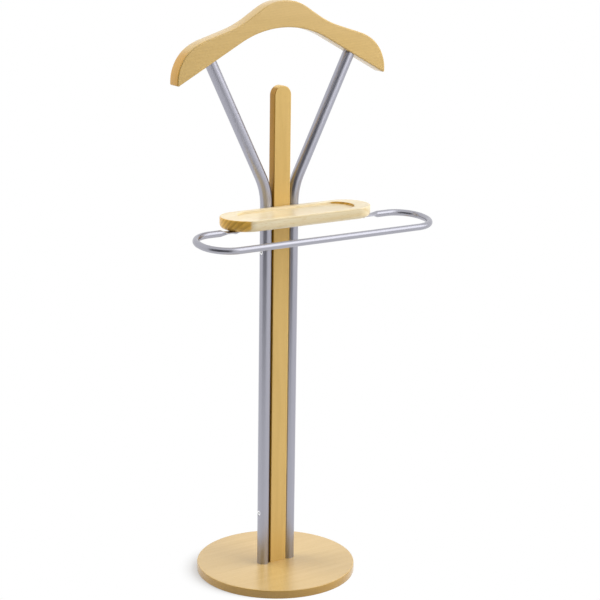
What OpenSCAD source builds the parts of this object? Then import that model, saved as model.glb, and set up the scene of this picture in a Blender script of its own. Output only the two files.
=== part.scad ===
// Clothes valet stand: a hanger board carried by two bent tubes beside a wooden slat,
// with a small tray, a trouser bar and a round wooden base.
// Millimetres. +Z is up, +X is to the right and -Y is the front.
// The origin is on the floor, under the middle of the base.

/* [Base] */
// Diameter of the base disc
base_d = 300; // [260:1:340]
// Thickness of the base disc
base_t = 16; // [15:1:22]
// Radius of the rounded upper edge of the base disc
base_edge_r = 2; // [1:0.5:4]
// Thickness of the felt under the base
felt_t = 2; // [1:0.5:4]
// Diameter of the felt disc under the middle of the base
centre_felt_d = 100; // [90:1:140]
// Diameter of the small felt pads
rim_felt_d = 24; // [16:1:30]
// Distance between the small felt pads and the rim of the base
rim_felt_inset = 14; // [8:1:25]

/* [Tubes] */
// Outer diameter of the two tubes
tube_d = 22; // [20:0.5:25]
// Wall thickness of the two tubes
tube_wall = 1.5; // [1:0.25:2]
// Clearance between each tube and the slat
tube_gap = 0.1; // [0.05:0.05:1]
// Lean of the upper part of each tube away from the vertical, in degrees
tube_lean = 26.5; // [22:0.5:30]
// Height at which the centre lines of a tube's lower and upper parts cross
bend_z = 741; // [735:1:780]
// Centre-line radius of the bend in each tube
bend_r = 120; // [80:5:130]

/* [Slat] */
// Width of the slat, seen from the front
slat_w = 35; // [32:0.5:45]
// Thickness of the slat, front to back
slat_t = 18; // [15:0.5:22]
// Height of the slat's rounded top above the floor
slat_top = 929; // [860:1:960]
// Radius of the slat's eased long edges
slat_edge_r = 1.5; // [0.5:0.5:3]

/* [Hanger board] */
// Width of the hanger board
hanger_w = 440; // [420:1:460]
// Thickness of the hanger board, front to back
hanger_t = 28; // [24:1:34]
// Height of the hanger board's crown above the floor
hanger_top = 1081; // [1060:1:1110]
// Height of the board itself in the middle, from underside to crown
crown_h = 48; // [42:1:56]
// Radius of the arch in the underside
arch_r = 190; // [170:5:220]
// Slope of the straight underside of each shoulder, in degrees
flank_slope = 28.5; // [26:0.5:30]
// Radius of the crown
crown_r = 88; // [75:1:98]
// Length of the straight fall beside the crown
neck_len = 28; // [15:1:35]
// Radius of the hollow between crown and shoulder
neck_r = 200; // [160:5:230]
// Steepest slope of the upper edge beside the crown, in degrees
neck_slope = 32; // [30:0.5:34]
// Slope of the straight upper edge of each shoulder, in degrees
shoulder_slope = 17; // [16:0.5:20]
// Radius of the outer shoulder
shoulder_r = 105; // [80:5:140]
// Slope at which the shoulder runs into the rounded end, in degrees
tip_slope = 30; // [27:0.5:34]
// Radius of the rounded ends
tip_r = 70; // [60:1:72]

/* [Tray] */
// Length of the tray, left to right
tray_len = 307; // [290:1:330]
// Depth of the tray, front to back
tray_depth = 90; // [86:1:110]
// Thickness of the tray
tray_t = 21; // [19:1:24]
// Height of the tray's upper face above the floor
tray_top = 711; // [690:1:712]
// Radius of the tray's upper edge
tray_top_r = 2; // [1:0.5:4]
// Radius of the tray's lower edge
tray_bottom_r = 8; // [1:0.5:9]
// Clearance between the tray's rear edge and the tubes
tray_gap = 0.1; // [0.05:0.05:0.5]
// Length of the recess in the tray
recess_len = 240; // [200:1:250]
// Width of the recess in the tray, front to back
recess_w = 66; // [50:1:72]
// Depth of the recess in the tray
recess_depth = 4; // [3:0.5:7]

/* [Trouser bar] */
// Diameter of the trouser bar
bar_d = 12; // [10:0.5:14]
// Wall thickness of the trouser bar
bar_wall = 1.2; // [1:0.1:1.5]
// Overall width of the trouser bar
bar_w = 488; // [460:1:520]
// Distance between the centre lines of its front and back runs
bar_reach = 100; // [98:1:130]
// Slope of the bar down to its front run, in degrees
bar_droop = 4.7; // [0:0.1:8]
// Distance of its back run in front of the tray's middle
bar_setback = 15; // [0:1:18]
// Centre-line radius of its four corners
bar_corner_r = 48; // [35:1:49]
// Width of its flattened ends
lug_w = 17; // [15:0.5:20]
// Distance from the end of the tray to the flattened end's screw
lug_screw_inset = 16; // [12:1:20]
// Distance from that screw to the tip of the flattened end
lug_tip = 8; // [7:0.5:10]
// Length over which the bar flattens
lug_taper = 11; // [8:1:16]
// Distance that the flattened end shows beyond the tray
lug_show = 4; // [2:0.5:8]

/* [Base fasteners] */
// Thread diameter of the bolts from the base into the tubes
base_bolt_d = 8; // [6:1:8]
// Length of those bolts inside the foot inserts
base_bolt_grip = 20; // [15:1:23]
// Diameter of their heads
base_bolt_head_d = 13; // [12:0.5:15]
// Height of their heads
base_bolt_head_h = 5; // [4:0.5:5.5]
// Key size of their hexagon sockets
base_bolt_key = 5; // [4:0.5:6]
// Outer diameter of their washers
washer_d = 18; // [16:0.5:19]
// Thickness of their washers
washer_t = 1.6; // [1:0.1:2]
// Diameter of the counterbores for heads and washers
cbore_d = 21; // [20:0.5:23]
// Depth of the counterbores
cbore_depth = 8; // [8:0.5:10]
// Length of the foot inserts
insert_len = 25; // [24:1:40]
// Diameter of the screws from the base into the slat
slat_screw_d = 5; // [4:0.5:5.5]
// Length of those screws
slat_screw_len = 50; // [40:1:60]
// Distance between those screws
slat_screw_pitch = 15; // [13:0.5:16]

/* [Column fasteners] */
// Thread diameter of the column bolts
column_bolt_d = 5; // [4:0.5:5.5]
// Diameter of the countersunk heads of column bolts and sleeve nuts
column_head_d = 10; // [9:0.5:12]
// Key size of their hexagon sockets
column_key = 3; // [2.5:0.5:3.5]
// Depth of those sockets
column_socket = 1.5; // [1:0.1:1.8]
// Outer diameter of the nuts' sleeves
sleeve_d = 7.5; // [7.2:0.1:8.5]
// Height of the lower column bolt
lower_bolt_z = 120; // [90:1:200]
// Height of the upper column bolt
upper_bolt_z = 626; // [500:1:650]

/* [Tray and bar fasteners] */
// Diameter of the screws from the slat into the tray
tray_screw_d = 4.5; // [3.5:0.5:5]
// Length of those screws
tray_screw_len = 52; // [44:1:60]
// Distance between those screws
tray_screw_pitch = 17; // [13:1:19]
// Height of those screws above the tray's underside
tray_screw_rise = 8.5; // [7:0.5:9]
// Diameter of the screws through the flattened ends of the bar
bar_screw_d = 4; // [3.5:0.5:4.5]
// Depth of those screws in the tray
bar_screw_grip = 12; // [8:1:15]
// Diameter of their heads
bar_screw_head_d = 8.5; // [7.5:0.5:10]
// Height of their heads
bar_screw_head_h = 2.6; // [2:0.2:3.4]

/* [Hanger fasteners] */
// Length of the hanger plugs inside the tubes
plug_len = 30; // [20:1:40]
// Diameter of the plugs' noses
nose_d = 12; // [10:0.5:14]
// Length of the plugs' noses
nose_len = 22; // [18:1:24]
// Diameter of the screws that cross the noses
hanger_screw_d = 3.5; // [3:0.5:4]
// Thickness of wood left in front of those screws' points
hanger_screw_cover = 5; // [2:0.5:6]

/* [Fits] */
// Radial clearance of threads, plugs and driven screws
fit_clear = 0.1; // [0.05:0.05:0.2]
// Radial clearance of holes that a fastener passes through freely
hole_clear = 0.4; // [0.2:0.1:0.5]

/* [Hidden] */
$fn = 96;
// Largest turn between two points of an outline's arc, in degrees
ARC_STEP = 2;
// The wall of a bend lies this far inside the wall of the straights, and they lap by the next length
BEND_STEP = 0.05;
BEND_LAP = 0.5;
OVERCUT = 1;
SPACE = 400;
HEX_SIDES = 6;
TAPER_SIDES = 48;
COUNTERSINK = 0.6;
SOCKET_DEPTH = 0.6;
RIM_FELTS = 4;
WOOD = [0.83, 0.69, 0.42];
PALE_WOOD = [0.93, 0.87, 0.73];
DISC_WOOD = [0.90, 0.81, 0.65];
SATIN_STEEL = [0.66, 0.66, 0.72];
CHROME = [0.80, 0.80, 0.84];
ZINC = [0.62, 0.63, 0.66];
PLASTIC = [0.20, 0.20, 0.21];
FELT = [0.45, 0.40, 0.36];

// Levels
base_bottom = felt_t;
base_top = felt_t + base_t;
slat_len = slat_top - base_top;
tray_bottom = tray_top - tray_t;
arch_top = hanger_top - crown_h;

// Tube geometry, for the right-hand tube
tube_x = slat_w / 2 + tube_gap + tube_d / 2;
tube_out_x = tube_x + tube_d / 2;
tube_bore_d = tube_d - 2 * tube_wall;
bend_start_z = bend_z - bend_r * tan(tube_lean / 2);
bend_end = [tube_x + bend_r * (1 - cos(tube_lean)), bend_start_z + bend_r * sin(tube_lean)];
// The underside's arch runs into the straight flank at this point
flank_start = [arch_r * sin(flank_slope), arch_top - arch_r * (1 - cos(flank_slope))];
flank_z0 = flank_start[1] + flank_start[0] * tan(flank_slope);
// Length of the leaning centre line, from the end of the bend to the flank
lean_len = (flank_z0 - bend_end[0] * tan(flank_slope) - bend_end[1])
    / (cos(tube_lean) + sin(tube_lean) * tan(flank_slope));
// Most that the slanting cut of the tube's end drops below that point
cut_drop = tube_d / 2 * tan(abs(flank_slope - tube_lean));

// Hanger outline: the right-hand upper edge, from crown to tip, as [length or radius, left turn]
hanger_end_x = hanger_w / 2;
arcs_x = crown_r * sin(neck_slope) + neck_len * cos(neck_slope)
    + neck_r * (sin(neck_slope) - sin(shoulder_slope))
    + shoulder_r * (sin(tip_slope) - sin(shoulder_slope)) + tip_r * (1 - sin(tip_slope));
shoulder_len = (hanger_end_x - arcs_x) / cos(shoulder_slope);
upper_edge = [
    [crown_r, -neck_slope],
    [neck_len, 0],
    [neck_r, neck_slope - shoulder_slope],
    [shoulder_len, 0],
    [shoulder_r, shoulder_slope - tip_slope],
    [tip_r, tip_slope - 90]
];

// Tray and bar
tray_back_y = -tube_d / 2 - tray_gap;
tray_y = tray_back_y - tray_depth / 2;
tray_end_r = tray_depth / 2;
tray_straight = tray_len - tray_depth;
bar_bore_d = bar_d - 2 * bar_wall;
lug_t = 2 * bar_wall;
bar_z = tray_bottom - lug_t / 2;
bar_y = tray_y - bar_setback;
bar_side_x = bar_w / 2 - bar_d / 2;
corner_x = bar_side_x - bar_corner_r;
lug_screw_x = tray_len / 2 - lug_screw_inset;
taper_x = tray_len / 2 + lug_show;
back_run_x = taper_x + lug_taper;
tray_screw_z = tray_bottom + tray_screw_rise;

// Column fasteners
// The heads' faces meet the tube's outside at their front and back edges
head_x = tube_x + sqrt(pow(tube_d, 2) - pow(column_head_d, 2)) / 2;
bolt_tip_x = head_x - 2 * column_socket;
hanger_screw_len = hanger_t - hanger_screw_cover;

// ---- Helpers ----

// End of one [length or radius, turn] step that starts at p with heading h
function step_end(p, h, step) =
    step[1] == 0
        ? p + step[0] * [cos(h), sin(h)]
        : p + sign(step[1]) * step[0] * ([-sin(h), cos(h)] + [sin(h + step[1]), -cos(h + step[1])]);

// Points along a chain of steps, after the starting point p
function trace(p, h, steps, i = 0) =
    i == len(steps) ? [] : let (
        step = steps[i],
        parts = step[1] == 0 ? 1 : ceil(abs(step[1]) / ARC_STEP)
    ) concat(
        [for (k = [1 : parts]) step_end(p, h, step[1] == 0 ? step : [step[0], step[1] * k / parts])],
        trace(step_end(p, h, step), h + step[1], steps, i + 1)
    );

// A child and its mirror image across the middle of the stand
module both_sides() {
    children();
    mirror([1, 0, 0]) children();
}

// Cylinder along X, from x0 to x1
module x_rod(d, x0, x1) {
    translate([x0, 0, 0]) rotate([0, 90, 0]) cylinder(d = d, h = x1 - x0);
}

// Cylinder along Y, from the front y0 to the back y1
module y_rod(d, y0, y1) {
    translate([0, y1, 0]) rotate([90, 0, 0]) cylinder(d = d, h = y1 - y0);
}

// Right-hand half of a board's section, with rounded upper and lower outer corners
module half_section(half_w, t, upper_r, lower_r) {
    difference() {
        square([half_w, t]);
        translate([half_w - upper_r, t - upper_r]) corner_cut(upper_r);
        translate([half_w - lower_r, lower_r]) mirror([0, 1]) corner_cut(lower_r);
    }
}

// What a rounded corner of radius r leaves of a square corner
module corner_cut(r) {
    difference() {
        square(r + OVERCUT);
        circle(r = r);
    }
}

// Wood screw pointing up, its flat countersunk head at z = 0
module countersunk_screw(d, screw_len) {
    cylinder(d1 = 2 * d, d2 = d, h = COUNTERSINK * d);
    cylinder(d = d, h = screw_len - d);
    translate([0, 0, screw_len - d]) cylinder(d1 = d, d2 = 0.2 * d, h = d);
}

// Hole for that screw
module countersunk_hole(d, screw_len, clear) {
    cylinder(d1 = 2 * d + 2 * clear, d2 = d + 2 * clear, h = COUNTERSINK * d);
    translate([0, 0, -OVERCUT]) cylinder(d = d + 2 * clear, h = screw_len + OVERCUT + fit_clear);
}

// Hexagonal key socket of a given depth, going up from z = 0
module key_socket(key, depth) {
    translate([0, 0, -OVERCUT]) cylinder(d = key / cos(180 / HEX_SIDES), h = depth + OVERCUT, $fn = HEX_SIDES);
}

// ---- Base ----

module base_plate() {
    color(DISC_WOOD) difference() {
        translate([0, 0, base_bottom]) rotate_extrude()
            half_section(base_d / 2, base_t, base_edge_r, base_edge_r / 2);
        both_sides() translate([tube_x, 0, base_bottom - OVERCUT]) {
            cylinder(d = base_bolt_d + 2 * hole_clear, h = base_t + 2 * OVERCUT);
            cylinder(d = cbore_d, h = cbore_depth + OVERCUT);
        }
        both_sides() translate([slat_screw_pitch / 2, 0, base_bottom])
            countersunk_hole(slat_screw_d, slat_screw_len, fit_clear);
    }
}

module centre_felt() {
    color(FELT) cylinder(d = centre_felt_d, h = felt_t);
}

module rim_felts() {
    for (i = [0 : RIM_FELTS - 1]) {
        color(FELT) rotate([0, 0, (i + 0.5) * 360 / RIM_FELTS])
            translate([base_d / 2 - rim_felt_inset - rim_felt_d / 2, 0, 0]) cylinder(d = rim_felt_d, h = felt_t);
    }
}

module base_bolts() {
    head_z = base_bottom + cbore_depth - washer_t - base_bolt_head_h;
    shank_len = base_top + base_bolt_grip - head_z;
    color(ZINC) both_sides() translate([tube_x, 0, head_z]) difference() {
        union() {
            cylinder(d = base_bolt_head_d, h = base_bolt_head_h);
            cylinder(d = base_bolt_d, h = shank_len);
        }
        key_socket(base_bolt_key, SOCKET_DEPTH * base_bolt_head_h);
    }
}

module base_washers() {
    color(ZINC) both_sides() translate([tube_x, 0, base_bottom + cbore_depth - washer_t]) difference() {
        cylinder(d = washer_d, h = washer_t);
        translate([0, 0, -OVERCUT]) cylinder(d = base_bolt_d + 2 * hole_clear, h = washer_t + 2 * OVERCUT);
    }
}

module slat_screws() {
    color(ZINC) both_sides() translate([slat_screw_pitch / 2, 0, base_bottom])
        countersunk_screw(slat_screw_d, slat_screw_len);
}

// ---- Tubes ----

// Solid along the right-hand tube's centre line, up past the hanger's underside:
// straights of diameter d that lap a bend of diameter bend_d
module tube_path(d, bend_d) {
    translate([tube_x, 0, base_top]) cylinder(d = d, h = bend_start_z - base_top + BEND_LAP);
    translate([tube_x + bend_r, 0, bend_start_z]) rotate([90, 0, 0]) rotate([0, 0, 180 - tube_lean])
        rotate_extrude(angle = tube_lean) translate([bend_r, 0]) circle(d = bend_d);
    translate([bend_end[0], 0, bend_end[1]]) rotate([0, tube_lean, 0]) translate([0, 0, -BEND_LAP])
        cylinder(d = d, h = lean_len + 2 * cut_drop + BEND_LAP + OVERCUT);
}

// Everything above the straight right-hand underside of the hanger board
module above_flank() {
    translate([flank_start[0], 0, flank_start[1]]) rotate([0, flank_slope, 0])
        translate([-SPACE / 2, -SPACE / 2, 0]) cube(SPACE);
}

// Right-hand tube, with countersunk cross holes for column fasteners of diameter shank_d
module bent_tube(shank_d) {
    difference() {
        tube_path(tube_d, tube_d - 2 * BEND_STEP);
        tube_path(tube_bore_d, tube_bore_d + 2 * BEND_STEP);
        translate([tube_x, 0, base_top - OVERCUT]) cylinder(d = tube_bore_d, h = 2 * OVERCUT);
        above_flank();
        column_places() {
            mouth = tube_out_x - head_x + OVERCUT;
            translate([0, 0, -mouth]) cylinder(d = column_head_d + 2 * fit_clear, h = mouth);
            sunk_head(shank_d, fit_clear);
            cylinder(d = shank_d + 2 * hole_clear, h = head_x - slat_w / 2);
        }
    }
}

module left_tube() {
    color(SATIN_STEEL) mirror([1, 0, 0]) bent_tube(column_bolt_d);
}

module right_tube() {
    color(SATIN_STEEL) bent_tube(sleeve_d);
}

module foot_insert() {
    translate([tube_x, 0, base_top]) difference() {
        cylinder(d = tube_bore_d - 2 * fit_clear, h = insert_len);
        translate([0, 0, -OVERCUT]) cylinder(d = base_bolt_d + 2 * fit_clear, h = insert_len + 2 * OVERCUT);
    }
}

module left_foot_insert() {
    color(ZINC) mirror([1, 0, 0]) foot_insert();
}

module right_foot_insert() {
    color(ZINC) foot_insert();
}

// ---- Slat ----

module centre_slat() {
    color(WOOD) difference() {
        translate([0, 0, base_top]) intersection() {
            translate([0, slat_t / 2, 0]) rotate([90, 0, 0]) linear_extrude(slat_t) {
                translate([-slat_w / 2, 0]) square([slat_w, slat_len - slat_w / 2]);
                translate([0, slat_len - slat_w / 2]) circle(d = slat_w);
            }
            linear_extrude(slat_len) slat_section();
        }
        for (z = [lower_bolt_z, upper_bolt_z]) {
            translate([0, 0, z]) x_rod(column_bolt_d + 2 * hole_clear, -slat_w, slat_w);
        }
        both_sides() translate([slat_screw_pitch / 2, 0, base_bottom])
            countersunk_hole(slat_screw_d, slat_screw_len, fit_clear);
        tray_screw_holes(hole_clear);
    }
}

// Slat's cross-section, with eased corners
module slat_section() {
    inner = [slat_w - 2 * slat_edge_r, slat_t - 2 * slat_edge_r];
    square([inner[0], slat_t], center = true);
    square([slat_w, inner[1]], center = true);
    for (x = [-inner[0] / 2, inner[0] / 2], y = [-inner[1] / 2, inner[1] / 2]) {
        translate([x, y]) circle(r = slat_edge_r);
    }
}

// ---- Column fasteners ----

// Countersunk head on a shank of diameter neck_d, with its face at z = 0, or the room for one
module sunk_head(neck_d, clear = 0) {
    cylinder(d1 = column_head_d + 2 * clear, d2 = neck_d + 2 * clear, h = (column_head_d - neck_d) / 2);
}

// Right-hand places of the column fasteners: z = 0 at the head's face, pointing to the middle
module column_places() {
    for (z = [lower_bolt_z, upper_bolt_z]) {
        translate([head_x, 0, z]) rotate([0, -90, 0]) children();
    }
}

module column_bolts() {
    color(ZINC) mirror([1, 0, 0]) column_places() difference() {
        union() {
            sunk_head(column_bolt_d);
            cylinder(d = column_bolt_d, h = head_x + bolt_tip_x);
        }
        key_socket(column_key, column_socket);
    }
}

module sleeve_nuts() {
    sleeve_len = head_x - tube_x + tube_d / 2;
    thread_start = head_x - bolt_tip_x - fit_clear;
    color(ZINC) column_places() difference() {
        union() {
            sunk_head(sleeve_d);
            cylinder(d = sleeve_d, h = sleeve_len);
        }
        key_socket(column_key, column_socket);
        translate([0, 0, thread_start])
            cylinder(d = column_bolt_d + 2 * fit_clear, h = sleeve_len - thread_start + OVERCUT);
    }
}

// ---- Hanger board ----

// Front view of the hanger board, from its crown down
module hanger_outline() {
    down = [0, -hanger_top];
    upper = trace([0, 0], 0, upper_edge);
    tip = [hanger_end_x, flank_z0 - hanger_end_x * tan(flank_slope)] + down;
    arch = trace(flank_start + down, 180 - flank_slope, [[arch_r, flank_slope]]);
    right = concat(upper, [tip, flank_start + down], arch);
    left = [for (i = [len(right) - 2 : -1 : 0]) [-right[i][0], right[i][1]]];
    polygon(concat([[0, 0]], right, left));
}

// Right-hand leaning frame: z = 0 where the tube's centre line meets the hanger's underside
module at_tube_top() {
    translate([bend_end[0], 0, bend_end[1]]) rotate([0, tube_lean, 0]) translate([0, 0, lean_len]) children();
}

module hanger_board() {
    color(WOOD) difference() {
        translate([0, hanger_t / 2, hanger_top]) rotate([90, 0, 0]) linear_extrude(hanger_t) hanger_outline();
        both_sides() at_tube_top() {
            translate([0, 0, -nose_d]) cylinder(d = nose_d + 2 * fit_clear, h = nose_d + nose_len + fit_clear);
            hanger_screw_place() countersunk_hole(hanger_screw_d, hanger_screw_len, fit_clear);
        }
    }
}

// Place of a hanger screw: in the board's back face, pointing to the front
module hanger_screw_place() {
    translate([0, hanger_t / 2, nose_len / 2]) rotate([90, 0, 0]) children();
}

module hanger_plug() {
    at_tube_top() difference() {
        union() {
            translate([0, 0, -plug_len - cut_drop]) cylinder(d = tube_bore_d - 2 * fit_clear, h = plug_len);
            translate([0, 0, -plug_len]) cylinder(d = nose_d, h = plug_len + nose_len);
        }
        hanger_screw_place() cylinder(d = hanger_screw_d + 2 * fit_clear, h = hanger_t);
    }
}

module left_hanger_plug() {
    color(PLASTIC) mirror([1, 0, 0]) hanger_plug();
}

module right_hanger_plug() {
    color(PLASTIC) hanger_plug();
}

module hanger_screws() {
    color(ZINC) both_sides() at_tube_top() hanger_screw_place()
        countersunk_screw(hanger_screw_d, hanger_screw_len);
}

// ---- Tray ----

// Stadium of a given length and width, along X
module stadium(total_len, w) {
    square([total_len - w, w], center = true);
    for (x = [(w - total_len) / 2, (total_len - w) / 2]) {
        translate([x, 0]) circle(d = w);
    }
}

// Tray's outside: straight middle and two turned half-round ends, with rounded edges
module tray_blank() {
    for (side = [0, 180]) {
        rotate([0, 0, side]) translate([tray_straight / 2, 0, 0]) rotate([0, 0, -90])
            rotate_extrude(angle = 180) half_section(tray_end_r, tray_t, tray_top_r, tray_bottom_r);
        rotate([0, 0, side]) translate([-tray_straight / 2, 0, 0]) rotate([90, 0, 90])
            linear_extrude(tray_straight) half_section(tray_end_r, tray_t, tray_top_r, tray_bottom_r);
    }
}

module tray() {
    color(PALE_WOOD) difference() {
        translate([0, tray_y, tray_bottom]) tray_blank();
        translate([0, tray_y, tray_top - recess_depth]) linear_extrude(recess_depth + OVERCUT)
            stadium(recess_len, recess_w);
        tray_screw_holes(fit_clear);
        both_sides() translate([lug_screw_x, bar_y, tray_bottom - OVERCUT])
            cylinder(d = bar_screw_d + 2 * fit_clear, h = bar_screw_grip + OVERCUT + fit_clear);
    }
}

// Places of the tray screws: in the slat's back face, pointing to the front
module tray_screw_places() {
    both_sides() translate([tray_screw_pitch / 2, slat_t / 2, tray_screw_z]) rotate([90, 0, 0]) children();
}

module tray_screw_holes(clear) {
    tray_screw_places() countersunk_hole(tray_screw_d, tray_screw_len, clear);
}

module tray_screws() {
    color(ZINC) tray_screw_places() countersunk_screw(tray_screw_d, tray_screw_len);
}

// ---- Trouser bar ----

// Corner of the bar: a quarter ring around the origin, from +X to +Y
module bar_corner(d) {
    rotate_extrude(angle = 90) translate([bar_corner_r, 0]) circle(d = d);
}

// Right-hand half of the bar's round part, around the centre line of the back run:
// straights of diameter d that lap corners of diameter bend_d
module bar_half(d, bend_d) {
    x_rod(d, back_run_x, corner_x + BEND_LAP);
    rotate([bar_droop, 0, 0]) {
        translate([corner_x, -bar_corner_r, 0]) bar_corner(bend_d);
        translate([bar_side_x, 0, 0]) y_rod(d, bar_corner_r - bar_reach - BEND_LAP, BEND_LAP - bar_corner_r);
        translate([corner_x, bar_corner_r - bar_reach, 0]) rotate([0, 0, -90]) bar_corner(bend_d);
        translate([0, -bar_reach, 0]) x_rod(d, 0, corner_x + BEND_LAP);
    }
}

// Flattened right-hand end of the bar: taper, level lug and screw hole, around the back run's centre line
module bar_end() {
    difference() {
        union() {
            hull() {
                x_rod(bar_d, back_run_x - lug_t / 2, back_run_x, $fn = TAPER_SIDES);
                translate([taper_x, -lug_w / 2, -lug_t / 2]) cube([lug_t / 2, lug_w, lug_t]);
            }
            translate([lug_screw_x, -lug_w / 2, -lug_t / 2]) cube([taper_x - lug_screw_x + lug_t / 2, lug_w, lug_t]);
            translate([lug_screw_x - lug_tip + lug_w / 2, 0, -lug_t / 2]) cylinder(d = lug_w, h = lug_t);
        }
        translate([lug_screw_x, 0, -lug_t / 2 - OVERCUT])
            cylinder(d = bar_screw_d + 2 * hole_clear, h = lug_t + 2 * OVERCUT);
    }
}

module trouser_bar() {
    color(CHROME) translate([0, bar_y, bar_z]) both_sides() {
        difference() {
            bar_half(bar_d, bar_d - 2 * BEND_STEP);
            bar_half(bar_bore_d, bar_bore_d + 2 * BEND_STEP);
        }
        bar_end();
    }
}

module bar_screws() {
    seat_z = tray_bottom - lug_t;
    color(ZINC) both_sides() translate([lug_screw_x, bar_y, 0]) {
        translate([0, 0, seat_z - bar_screw_head_h]) cylinder(d = bar_screw_head_d, h = bar_screw_head_h);
        translate([0, 0, seat_z]) cylinder(d = bar_screw_d, h = lug_t + bar_screw_grip);
    }
}

base_plate();
centre_felt();
rim_felts();
left_tube();
right_tube();
left_foot_insert();
right_foot_insert();
base_bolts();
base_washers();
centre_slat();
slat_screws();
column_bolts();
sleeve_nuts();
hanger_board();
left_hanger_plug();
right_hanger_plug();
hanger_screws();
tray();
tray_screws();
trouser_bar();
bar_screws();
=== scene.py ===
"""Looks of the clothes valet stand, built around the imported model.

Sizes are millimetres in the model's own frame: +Z up, +X right, -Y front, origin on the floor under the base.
"""
import math

import bmesh
import bpy
from mathutils import Matrix, Vector

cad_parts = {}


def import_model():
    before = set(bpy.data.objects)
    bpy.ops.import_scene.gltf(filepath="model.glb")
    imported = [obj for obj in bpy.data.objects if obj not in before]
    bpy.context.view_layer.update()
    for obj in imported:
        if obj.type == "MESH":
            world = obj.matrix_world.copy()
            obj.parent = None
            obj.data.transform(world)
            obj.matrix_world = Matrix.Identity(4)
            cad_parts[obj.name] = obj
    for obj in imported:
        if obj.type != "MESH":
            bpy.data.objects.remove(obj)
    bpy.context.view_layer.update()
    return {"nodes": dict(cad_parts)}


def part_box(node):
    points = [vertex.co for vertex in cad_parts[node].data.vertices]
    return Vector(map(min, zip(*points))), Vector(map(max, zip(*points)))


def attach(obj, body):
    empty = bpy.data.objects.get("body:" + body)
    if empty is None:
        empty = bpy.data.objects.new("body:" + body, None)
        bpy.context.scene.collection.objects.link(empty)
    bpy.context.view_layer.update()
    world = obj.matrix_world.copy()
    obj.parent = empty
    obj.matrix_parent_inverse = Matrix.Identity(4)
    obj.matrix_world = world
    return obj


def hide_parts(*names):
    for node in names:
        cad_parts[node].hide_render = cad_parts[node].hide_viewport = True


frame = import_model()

MM = 0.001
ARC_STEP = 2.0     # degrees between two points of an outline's arc
BEND_STEP = 1.5    # degrees between two rings of a swept bend
EDGE_STEPS = 5     # steps around a rounded edge
TAPER_STEPS = 10   # steps along a taper of the bar
TIP_STEPS = 8      # steps around a flattened tip of the bar
BASE_SIDES = 240
TUBE_SIDES = 96
BAR_SIDES = 48
SCREW_SIDES = 48   # a multiple of the corners of a key socket and of a cross recess
FELT_SIDES = 96
HEX_CORNERS = 6
GUARD = 0.25       # flat margin inside a rounded edge, which keeps the shading of the flat face level
SHARP_ANGLE = 35.0
OVERCUT = 1.0
LEFT_RIGHT = (-1, 1)    # signs of x

# ---- Driving sizes that the boxes of the nodes don't give ----

TUBE_WALL = 1.5
TUBE_LEAN = 26.5
TUBE_BEND_Z = 741.0
TUBE_BEND_R = 120.0
SLAT_EDGE_R = 1.5
BASE_TOP_R = 2.0
BASE_BOTTOM_R = 1.0

CROWN_H = 48.0
ARCH_R = 190.0
FLANK_SLOPE = 28.5
CROWN_R = 88.0
NECK_LEN = 28.0
NECK_R = 200.0
NECK_SLOPE = 32.0
SHOULDER_SLOPE = 17.0
SHOULDER_R = 105.0
TIP_SLOPE = 30.0
TIP_R = 70.0
TIP_CORNER_R = 2.5
HANGER_EDGE_R = 2.2

TRAY_TOP_R = 2.0
TRAY_BOTTOM_R = 8.0
RECESS_LEN = 240.0
RECESS_W = 66.0
RECESS_DEPTH = 4.0
RECESS_LIP_R = 1.0
RECESS_FLOOR_R = 1.6

BAR_D = 12.0
BAR_REACH = 100.0
BAR_DROOP = 4.7
BAR_SETBACK = 15.0
BAR_CORNER_R = 48.0
LUG_W = 17.0
LUG_T = 2.4
LUG_SCREW_INSET = 16.0
LUG_TIP = 8.0
LUG_TAPER = 11.0
LUG_SHOW = 4.0        # flat length that shows past the tray's end

BASE_BOLT_D = 8.0
BASE_BOLT_GRIP = 20.0
BASE_BOLT_HEAD_D = 13.0
BASE_BOLT_HEAD_H = 5.0
BASE_BOLT_HEAD_EDGE_R = 0.8
BASE_BOLT_KEY = 5.0
BASE_BOLT_SOCKET = 3.0
WASHER_T = 1.6
CBORE_D = 21.0
CBORE_DEPTH = 8.0
SLAT_SCREW_D = 5.0
SLAT_SCREW_LEN = 50.0
SLAT_SCREW_PITCH = 15.0
COLUMN_BOLT_D = 5.0
COLUMN_HEAD_D = 10.0
COLUMN_HEAD_GAP = 0.3    # shadow gap around a sunk head
COLUMN_KEY = 3.0
COLUMN_SOCKET = 1.5
SLEEVE_D = 7.5
COLUMN_BOLT_ZS = (120.0, 626.0)
TRAY_SCREW_D = 4.5
TRAY_SCREW_LEN = 52.0
TRAY_SCREW_PITCH = 17.0
TRAY_SCREW_RISE = 8.5
BAR_SCREW_D = 4.0
BAR_SCREW_GRIP = 12.0
BAR_SCREW_HEAD_D = 8.5
BAR_SCREW_HEAD_H = 2.6
BAR_SCREW_HEAD_EDGE_R = 1.6
BAR_SCREW_CROSS_W = 4.4
BAR_SCREW_CROSS_DEPTH = 1.7
HANGER_SCREW_D = 3.5
HANGER_SCREW_LEN = 23.0
NOSE_D = 12.0
NOSE_LEN = 22.0
RIM_FELT_R = 12.0
FELT_LOW_EDGE_R = 0.6
FELT_TOP_EDGE_R = 0.1
FIT_CLEAR = 0.1
HOLE_CLEAR = 0.4
COUNTERSINK = 0.6     # depth of a wood screw's head, as a share of its shank; the head is twice the shank

# ---- Sizes from the frame ----


def mm_box(node):
    """Lowest and highest corner of a CAD node, in millimetres."""
    low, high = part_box(node)
    return low / MM, high / MM


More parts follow.
